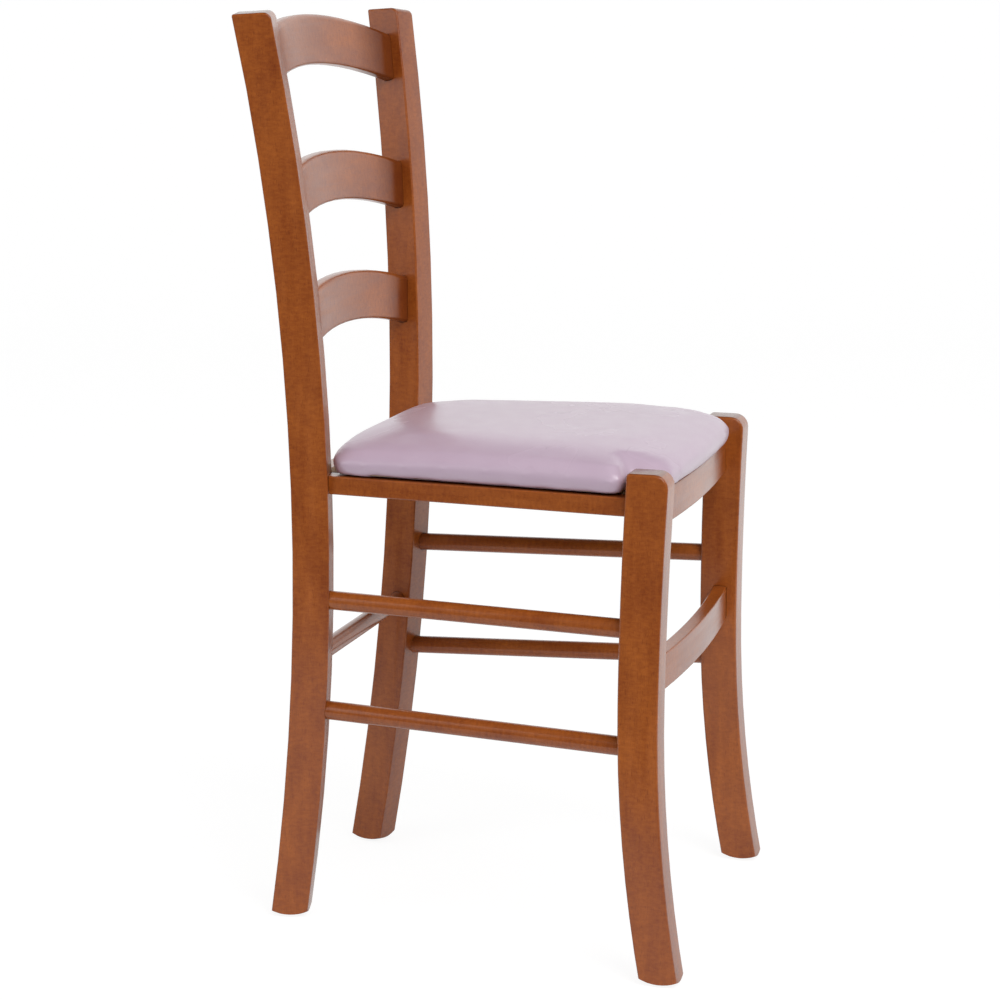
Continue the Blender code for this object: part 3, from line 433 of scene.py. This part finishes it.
def plywood(name):
    """Plywood: broad face figure, and the plies as bands in its thickness."""
    mat = Nodes(name)
    figure = mat.noise(mat.place((0, 0, 0), (70, 5, 5)), detail=4, distortion=0.8)
    plies = mat.add("ShaderNodeTexWave", bands_direction="Z")
    plies.inputs["Scale"].default_value = 1.0
    mat.link(mat.place((0, 0, 0), (1, 1, 160)), plies.inputs["Vector"])
    bands = mat.math("MULTIPLY", plies.outputs["Fac"], 0.4)
    tone = mat.math("ADD", mat.remap(figure, *SPAN, 0.0, 0.6), bands)
    mat.set(Base_Color=mat.mix(tone, PLY_DARK, PLY_LIGHT))
    mat.set(Roughness=mat.remap(figure, *SPAN, 0.60, 0.80), Normal=mat.bump(figure, 0.0003, 0.4))
    return mat.material


def leatherette():
    """Smooth lilac leatherette: fine pebble grain, a soft sheen, a little uneven in tone."""
    mat = Nodes("lilac_leatherette")
    cloud = mat.noise(mat.place((0, 0, 0), (11, 11, 11)), detail=3, distortion=0.3)
    patch = mat.noise(mat.place((3, 1, 0), (55, 55, 55)), detail=4)
    pebble = mat.add("ShaderNodeTexVoronoi", feature="DISTANCE_TO_EDGE")
    pebble.inputs["Scale"].default_value = 1.0
    mat.link(mat.place((0, 0, 0), (820, 820, 820)), pebble.inputs["Vector"])
    grain = mat.remap(pebble.outputs["Distance"], 0.0, 0.25)
    tone = mat.math("ADD", mat.remap(cloud, *SPAN, 0.0, 0.7), mat.remap(patch, *SPAN, 0.0, 0.3))
    colour = mat.mix(tone, LILAC_SHADE, LILAC)
    # Painted shade in the pebble grain's creases, darkening them slightly
    grain_crease_shade = mat.remap(grain, 0.0, 0.5, 0.10, 0.0)
    colour = mat.mix(grain_crease_shade, colour, LILAC_SHADE)
    normal = mat.bump(grain, 0.00010, 0.30)
    normal = mat.bump(patch, 0.0006, 0.18, under=normal)
    mat.set(Base_Color=colour, Roughness=mat.remap(patch, *SPAN, 0.30, 0.40), Normal=normal)
    mat.set(Coat_Weight=0.6, Coat_IOR=1.5, Coat_Roughness=mat.remap(cloud, *SPAN, 0.22, 0.30))
    mat.set(Sheen_Weight=0.05, Sheen_Roughness=0.5)
    return mat.material


def lining_cloth():
    """Black felted lining: tiny pressed dots and loose fibres."""
    mat = Nodes("black_lining")
    fibre = mat.noise(mat.place((0, 0, 0), (900, 900, 900)), detail=4)
    dots = mat.add("ShaderNodeTexVoronoi")
    mat.link(mat.place((0, 0, 0), (500, 500, 500)), dots.inputs["Vector"])
    dot = mat.remap(dots.outputs["Distance"], 0.1, 0.5)
    colour = mat.mix(mat.remap(fibre, 0.4, 0.7), LINING, LINING_FIBRE)
    mat.set(Base_Color=colour, Roughness=mat.remap(fibre, *SPAN, 0.85, 0.98))
    mat.set(Normal=mat.bump(dot, 0.0002, 0.6))
    return mat.material


def zinc():
    """Zinc-plated steel, slightly mottled."""
    mat = Nodes("zinc_plate")
    mottle = mat.noise(mat.place((0, 0, 0), (400, 400, 400)), detail=4)
    colour = mat.mix(mat.remap(mottle, *SPAN), ZINC_DARK, ZINC)
    mat.set(Base_Color=colour, Metallic=1.0, Roughness=mat.remap(mottle, *SPAN, 0.25, 0.45))
    return mat.material


# Rigid pieces

def finish_of(node, seed):
    """(material, slot) of a rigid CAD node."""
    for start, axis in GRAIN.items():
        if node.startswith(start):
            return stained_beech(f"{node}_beech", axis, seed), "stained_beech"
    if node.startswith("corner_block"):
        return bare_beech(f"{node}_beech", "X", seed), "raw_beech"
    return METAL, "zinc_screw"


def smooth_copy(node, seed):
    """A piece with a rigid CAD node's shape, welded and shaded as the round work it stands for."""
    bm = welded(node, distance=PIECE_WELD)
    bmesh.ops.dissolve_limit(bm, angle_limit=FLAT_ANGLE, verts=bm.verts, edges=bm.edges)
    mesh = mesh_of(bm, node)
    mesh.shade_smooth()
    mesh.set_sharp_from_angle(angle=SHARP_ANGLE)
    piece = new_object(f"{node}_finished", mesh)
    weigh = piece.modifiers.new("flat faces", "WEIGHTED_NORMAL")
    weigh.keep_sharp = True
    material, slot = finish_of(node, seed)
    mesh.materials.clear()
    mesh.materials.append(material)
    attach(piece, "root")
    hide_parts(node)


# Cushion

def pad_blank():
    """One closed, even skin round the cover, its foam and its board."""
    blank = welded("seat_cover", "seat_foam", "seat_board")
    pad = new_object("seat_pad", mesh_of(blank, "seat_pad"))
    remesh = pad.modifiers.new("even skin", "REMESH")
    remesh.mode = "VOXEL"
    remesh.voxel_size = PAD_VOXEL
    bake(pad)
    keep_largest(pad.data)
    ease_ridges(pad.data)
    return pad


def keep_largest(mesh):
    """Drops every loose part of a mesh but the largest, such as the walls of closed hollows."""
    bm = bmesh.new()
    bm.from_mesh(mesh)
    unseen = set(bm.verts)
    parts = []
    while unseen:
        stack = [unseen.pop()]
        part = list(stack)
        while stack:
            for edge in stack.pop().link_edges:
                for vert in edge.verts:
                    if vert in unseen:
                        unseen.remove(vert)
                        stack.append(vert)
                        part.append(vert)
        parts.append(part)
    parts.sort(key=len)
    for part in parts[:-1]:
        bmesh.ops.delete(bm, geom=part, context="VERTS")
    bm.to_mesh(mesh)
    bm.free()


def eased(points, ends, rounds):
    """Points with their ridges evened out, and the size given back that this costs."""
    even = evened(points, ends, rounds)
    return even + evened(points - even, ends, rounds)


def ease_ridges(mesh):
    """Takes the CAD's facets out of the skin: a little along the edges, more over the crown."""
    points = points_of(mesh)
    ends = edge_ends(mesh)
    upward = evened(normals_of(mesh), ends, PAD_EVENING)[:, 2:]
    crown = np.clip((upward - CROWN_UPWARD) / CROWN_UPWARD_FADE, 0, 1)
    crown = evened(crown, ends, 2 * PAD_EVENING)
    edges = eased(points, ends, PAD_EVENING)
    set_points(mesh, edges + crown * (evened(points, ends, CROWN_EVENING) - edges))


def height_in_pad(points):
    """Height of points above the pad's underside, which falls towards the back with the seat."""
    low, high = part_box("seat_cover")
    rear = np.array((0.0, high.y, low.z))
    up = np.array((0.0, math.sin(SEAT_SLOPE), math.cos(SEAT_SLOPE)))
    return (points - rear) @ up


def inflate(pad):
    """Blows the pad up as cloth under pressure, and lays the swelling's own shape on its form."""
    mesh = pad.data
    rest = points_of(mesh)
    normals = normals_of(mesh)
    held = height_in_pad(rest) < PAD_HELD_HEIGHT
    shrunk = rest - normals * PAD_SHRINK * ~held[:, None]
    set_points(mesh, shrunk)
    group = pad.vertex_groups.new(name="held")
    group.add([int(i) for i in np.flatnonzero(held)], 1.0, "REPLACE")
    cloth = pad.modifiers.new("inflate", "CLOTH")
    settings = cloth.settings
    settings.quality = 6
    settings.mass = 0.3
    settings.use_pressure = True
    settings.uniform_pressure_force = PAD_PRESSURE
    settings.vertex_group_mass = "held"
    settings.effector_weights.gravity = 0.0
    cloth.collision_settings.use_collision = False
    cloth.point_cache.frame_start = 1
    cloth.point_cache.frame_end = PAD_FRAMES
    scene = bpy.context.scene
    for step in range(1, PAD_FRAMES + 1):
        scene.frame_set(step)
    graph = bpy.context.evaluated_depsgraph_get()
    swollen = points_of(pad.evaluated_get(graph).data)
    pad.modifiers.clear()
    pad.vertex_groups.clear()
    scene.frame_set(1)
    swell = ((swollen - shrunk) * normals).sum(axis=1)
    swell -= swell[~held].mean()
    swell[held] = 0.0
    swell = PAD_MOST_MOVE * np.tanh(swell / PAD_MOST_MOVE)
    swell = evened(swell[:, None], edge_ends(mesh), CROWN_EVENING)[:, 0]
    set_points(mesh, rest + normals * swell[:, None])


def subdivide(obj):
    modifier = obj.modifiers.new("finer", "SUBSURF")
    modifier.levels = 1
    modifier.render_levels = 1
    bake(obj)


def waves(points, per_metre, seed):
    """Smooth noise at each point, about 0 to 1."""
    shift = Vector((seed, 0, 0))
    return np.array([0.5 + 0.5 * noise.noise(Vector(p) * per_metre + shift) for p in points])


def wave_hem(pad):
    """Lifts and draws in the stapled lower edge unevenly, and leaves the top not quite smooth."""
    mesh = pad.data
    points = points_of(mesh)
    normals = normals_of(mesh)
    height = height_in_pad(points)
    hem = np.clip(1 - height / HEM_HEIGHT, 0, 1) * np.clip(1 - np.abs(normals[:, 2]), 0, 1)
    lift = HEM_WAVE * waves(points, HEM_WAVES_PER_METRE, 7.0) * hem
    above = np.clip(height / HEM_HEIGHT - 1, 0, 1)
    uneven = PAD_UNEVENNESS * waves(points, PAD_WAVES_PER_METRE, 3.0) * above
    moved = points - normals * (HEM_DRAWN_IN * lift + uneven)[:, None]
    moved[:, 2] += lift
    set_points(mesh, moved)


def clear_of_board(pad):
    """Cuts the board's room out of the pad, and the opening under it where the lining goes."""
    low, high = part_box("seat_board")
    middle = (low + high) / 2
    room = Matrix.LocRotScale(None, None, [1 + 2 * BOARD_CLEARANCE / side for side in high - low])
    narrowed = Matrix.Diagonal((OPENING_SHARE, OPENING_SHARE, 1.0, 1.0))
    opening = Matrix.Translation((0, 0, -OPENING_DEPTH)) @ narrowed
    for label, change in (("room", room), ("opening", opening)):
        bm = welded("seat_board")
        bm.transform(Matrix.Translation(middle) @ change @ Matrix.Translation(-middle))
        cutter = add_to_scene(label, mesh_of(bm, label))
        cut = pad.modifiers.new(label, "BOOLEAN")
        cut.operation = "DIFFERENCE"
        cut.solver = "MANIFOLD"
        cut.object = cutter
        bake(pad)
        bpy.data.objects.remove(cutter)


def make_pad(material):
    pad = pad_blank()
    inflate(pad)
    subdivide(pad)
    wave_hem(pad)
    clear_of_board(pad)
    pad.data.shade_smooth()
    pad.data.set_sharp_from_angle(angle=PAD_SHARP_ANGLE)
    pad.data.materials.clear()
    pad.data.materials.append(material)
    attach(pad, "root")
    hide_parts("seat_cover", "seat_foam")


def lining_outline():
    """Corner points of the lining's underside, in order."""
    bm = welded("seat_bottom_cloth")
    bm.normal_update()
    under = [f for f in bm.faces if f.normal.z < -0.9]
    merged = bmesh.ops.dissolve_faces(bm, faces=under)["region"]
    face = max(merged, key=lambda f: f.calc_area())
    points = [v.co.copy() for v in face.verts]
    bm.free()
    return points


def make_lining(material):
    """The lining as a stretched sheet that sags a little from its stapled edge."""
    edge = lining_outline()
    count = len(edge)
    middle = sum(edge, Vector()) / count
    bm = bmesh.new()
    grid = []
    for ring in range(LINING_RINGS):
        reach = 1 - ring / LINING_RINGS
        drop = Vector((0, 0, -LINING_SAG * (1 - reach ** 2)))
        grid.append([bm.verts.new(middle + (p - middle) * reach + drop) for p in edge])
    hub = bm.verts.new(middle + Vector((0, 0, -LINING_SAG)))
    for outer, inner in zip(grid, grid[1:]):
        for i in range(count):
            j = (i + 1) % count
            bm.faces.new((outer[i], outer[j], inner[j], inner[i]))
    for i in range(count):
        bm.faces.new((grid[-1][i], grid[-1][(i + 1) % count], hub))
    bmesh.ops.recalc_face_normals(bm, faces=bm.faces)
    area = sum(f.calc_area() for f in bm.faces)
    mesh = mesh_of(bm, "seat_lining")
    mesh.shade_smooth()
    mesh.materials.append(material)
    lining = new_object("seat_lining", mesh)
    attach(lining, "root")
    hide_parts("seat_bottom_cloth")


# Studio

def make_sweep():
    """A plain white floor that curves up into a backdrop on the side away from the camera."""
    line = [(SWEEP_NEAR_EDGE, 0.0), (SWEEP_MIDDLE, 0.0), (SWEEP_REACH, 0.0)]
    for turn in np.radians(range(10, 91, 10)):
        along_floor = SWEEP_REACH + SWEEP_BEND * math.sin(turn)
        line.append((along_floor, SWEEP_BEND - SWEEP_BEND * math.cos(turn)))
    line.append((SWEEP_REACH + SWEEP_BEND, SWEEP_HEIGHT))
    bm = bmesh.new()
    rows = []
    for y in (-SWEEP_HALF_WIDTH, 0.0, SWEEP_HALF_WIDTH):
        rows.append([bm.verts.new((x, y, z - FLOOR_GAP)) for x, z in line])
    for near, far in zip(rows, rows[1:]):
        for i in range(len(line) - 1):
            bm.faces.new((near[i], near[i + 1], far[i + 1], far[i]))
    bmesh.ops.recalc_face_normals(bm, faces=bm.faces)
    mesh = mesh_of(bm, "studio_sweep")
    mesh.shade_smooth()
    sweep = add_to_scene("studio_sweep", mesh)
    sweep.matrix_world = Matrix.Rotation(math.radians(CAMERA_TURN[2] + 90), 4, "Z")
    mesh.materials.append(sweep_material())


def glow_share(mat):
    """How much of the paper's look is glow: most where it is seen, less where the near floor mirrors."""
    path = mat.add("ShaderNodeLightPath")
    fade = mat.remap(mat.axis("X"), *GLOW_FADE, GLOW_NEAR, 1.0)
    mirrored = mat.math("MULTIPLY", path.outputs["Is Glossy Ray"], fade)
    seen = mat.math("MAXIMUM", path.outputs["Is Camera Ray"], path.outputs["Is Transmission Ray"])
    return mat.math("MULTIPLY", mat.math("MAXIMUM", seen, mirrored), PAPER_GLOW)


def sweep_material():
    """White paper: seen directly it is nearly white, with the chair's shadow on it."""
    mat = Nodes("white_paper")
    mat.tree.nodes.remove(mat.shader)
    paper = mat.add("ShaderNodeBsdfDiffuse")
    paper.inputs["Color"].default_value = (*PAPER, 1.0)
    glow = mat.add("ShaderNodeEmission")
    glow.inputs["Strength"].default_value = PAPER_GLOW_STRENGTH
    mix = mat.add("ShaderNodeMixShader")
    mat.link(glow_share(mat), mix.inputs[0])
    mat.link(paper.outputs[0], mix.inputs[1])
    mat.link(glow.outputs[0], mix.inputs[2])
    mat.link(mix.outputs[0], mat.tree.nodes["Material Output"].inputs["Surface"])
    return mat.material


def make_world():
    """White where the camera sees it, and a soft even light on the object."""
    world = bpy.data.worlds.new("studio")
    bpy.context.scene.world = world
    world.use_nodes = True
    tree = world.node_tree
    tree.nodes.clear()
    path = tree.nodes.new("ShaderNodeLightPath")
    gloss = tree.nodes.new("ShaderNodeMapRange")
    gloss.inputs["To Min"].default_value = AMBIENT
    gloss.inputs["To Max"].default_value = AMBIENT_IN_GLOSS
    tree.links.new(path.outputs["Is Glossy Ray"], gloss.inputs["Value"])
    strength = tree.nodes.new("ShaderNodeMath")
    strength.operation = "MAXIMUM"
    tree.links.new(gloss.outputs["Result"], strength.inputs[0])
    tree.links.new(path.outputs["Is Camera Ray"], strength.inputs[1])
    light = tree.nodes.new("ShaderNodeBackground")
    tree.links.new(strength.outputs[0], light.inputs["Strength"])
    out = tree.nodes.new("ShaderNodeOutputWorld")
    tree.links.new(light.outputs[0], out.inputs["Surface"])


def make_lamp(name, place, size, power):
    light = bpy.data.lights.new(name, "AREA")
    light.shape = "SQUARE"
    light.size = size
    light.energy = power
    lamp = add_to_scene(name, light)
    lamp.location = place
    lamp.rotation_euler = (Vector(LAMP_TARGET) - Vector(place)).to_track_quat("-Z", "Y").to_euler()


def make_camera():
    data = bpy.data.cameras.new("camera")
    data.sensor_width = 36.0
    data.lens = CAMERA_LENS
    data.shift_x, data.shift_y = CAMERA_SHIFT
    data.clip_start = 0.05
    data.clip_end = 50.0
    camera = add_to_scene("camera", data)
    camera.location = CAMERA_PLACE
    camera.rotation_euler = [math.radians(a) for a in CAMERA_TURN]
    bpy.context.scene.camera = camera


make_camera()
make_world()
make_sweep()
make_lamp("key", KEY_PLACE, KEY_SIZE, KEY_POWER)
make_lamp("fill", FILL_PLACE, FILL_SIZE, FILL_POWER)
bpy.context.scene.view_settings.view_transform = "Standard"

METAL = zinc()
for number, node_name in enumerate(sorted(NODES)):
    if node_name not in (*SOFT, "seat_board"):
        smooth_copy(node_name, number + 1)
NODES["seat_board"].material_slots[0].material = plywood("board_plywood")
make_pad(leatherette())
make_lining(lining_cloth())
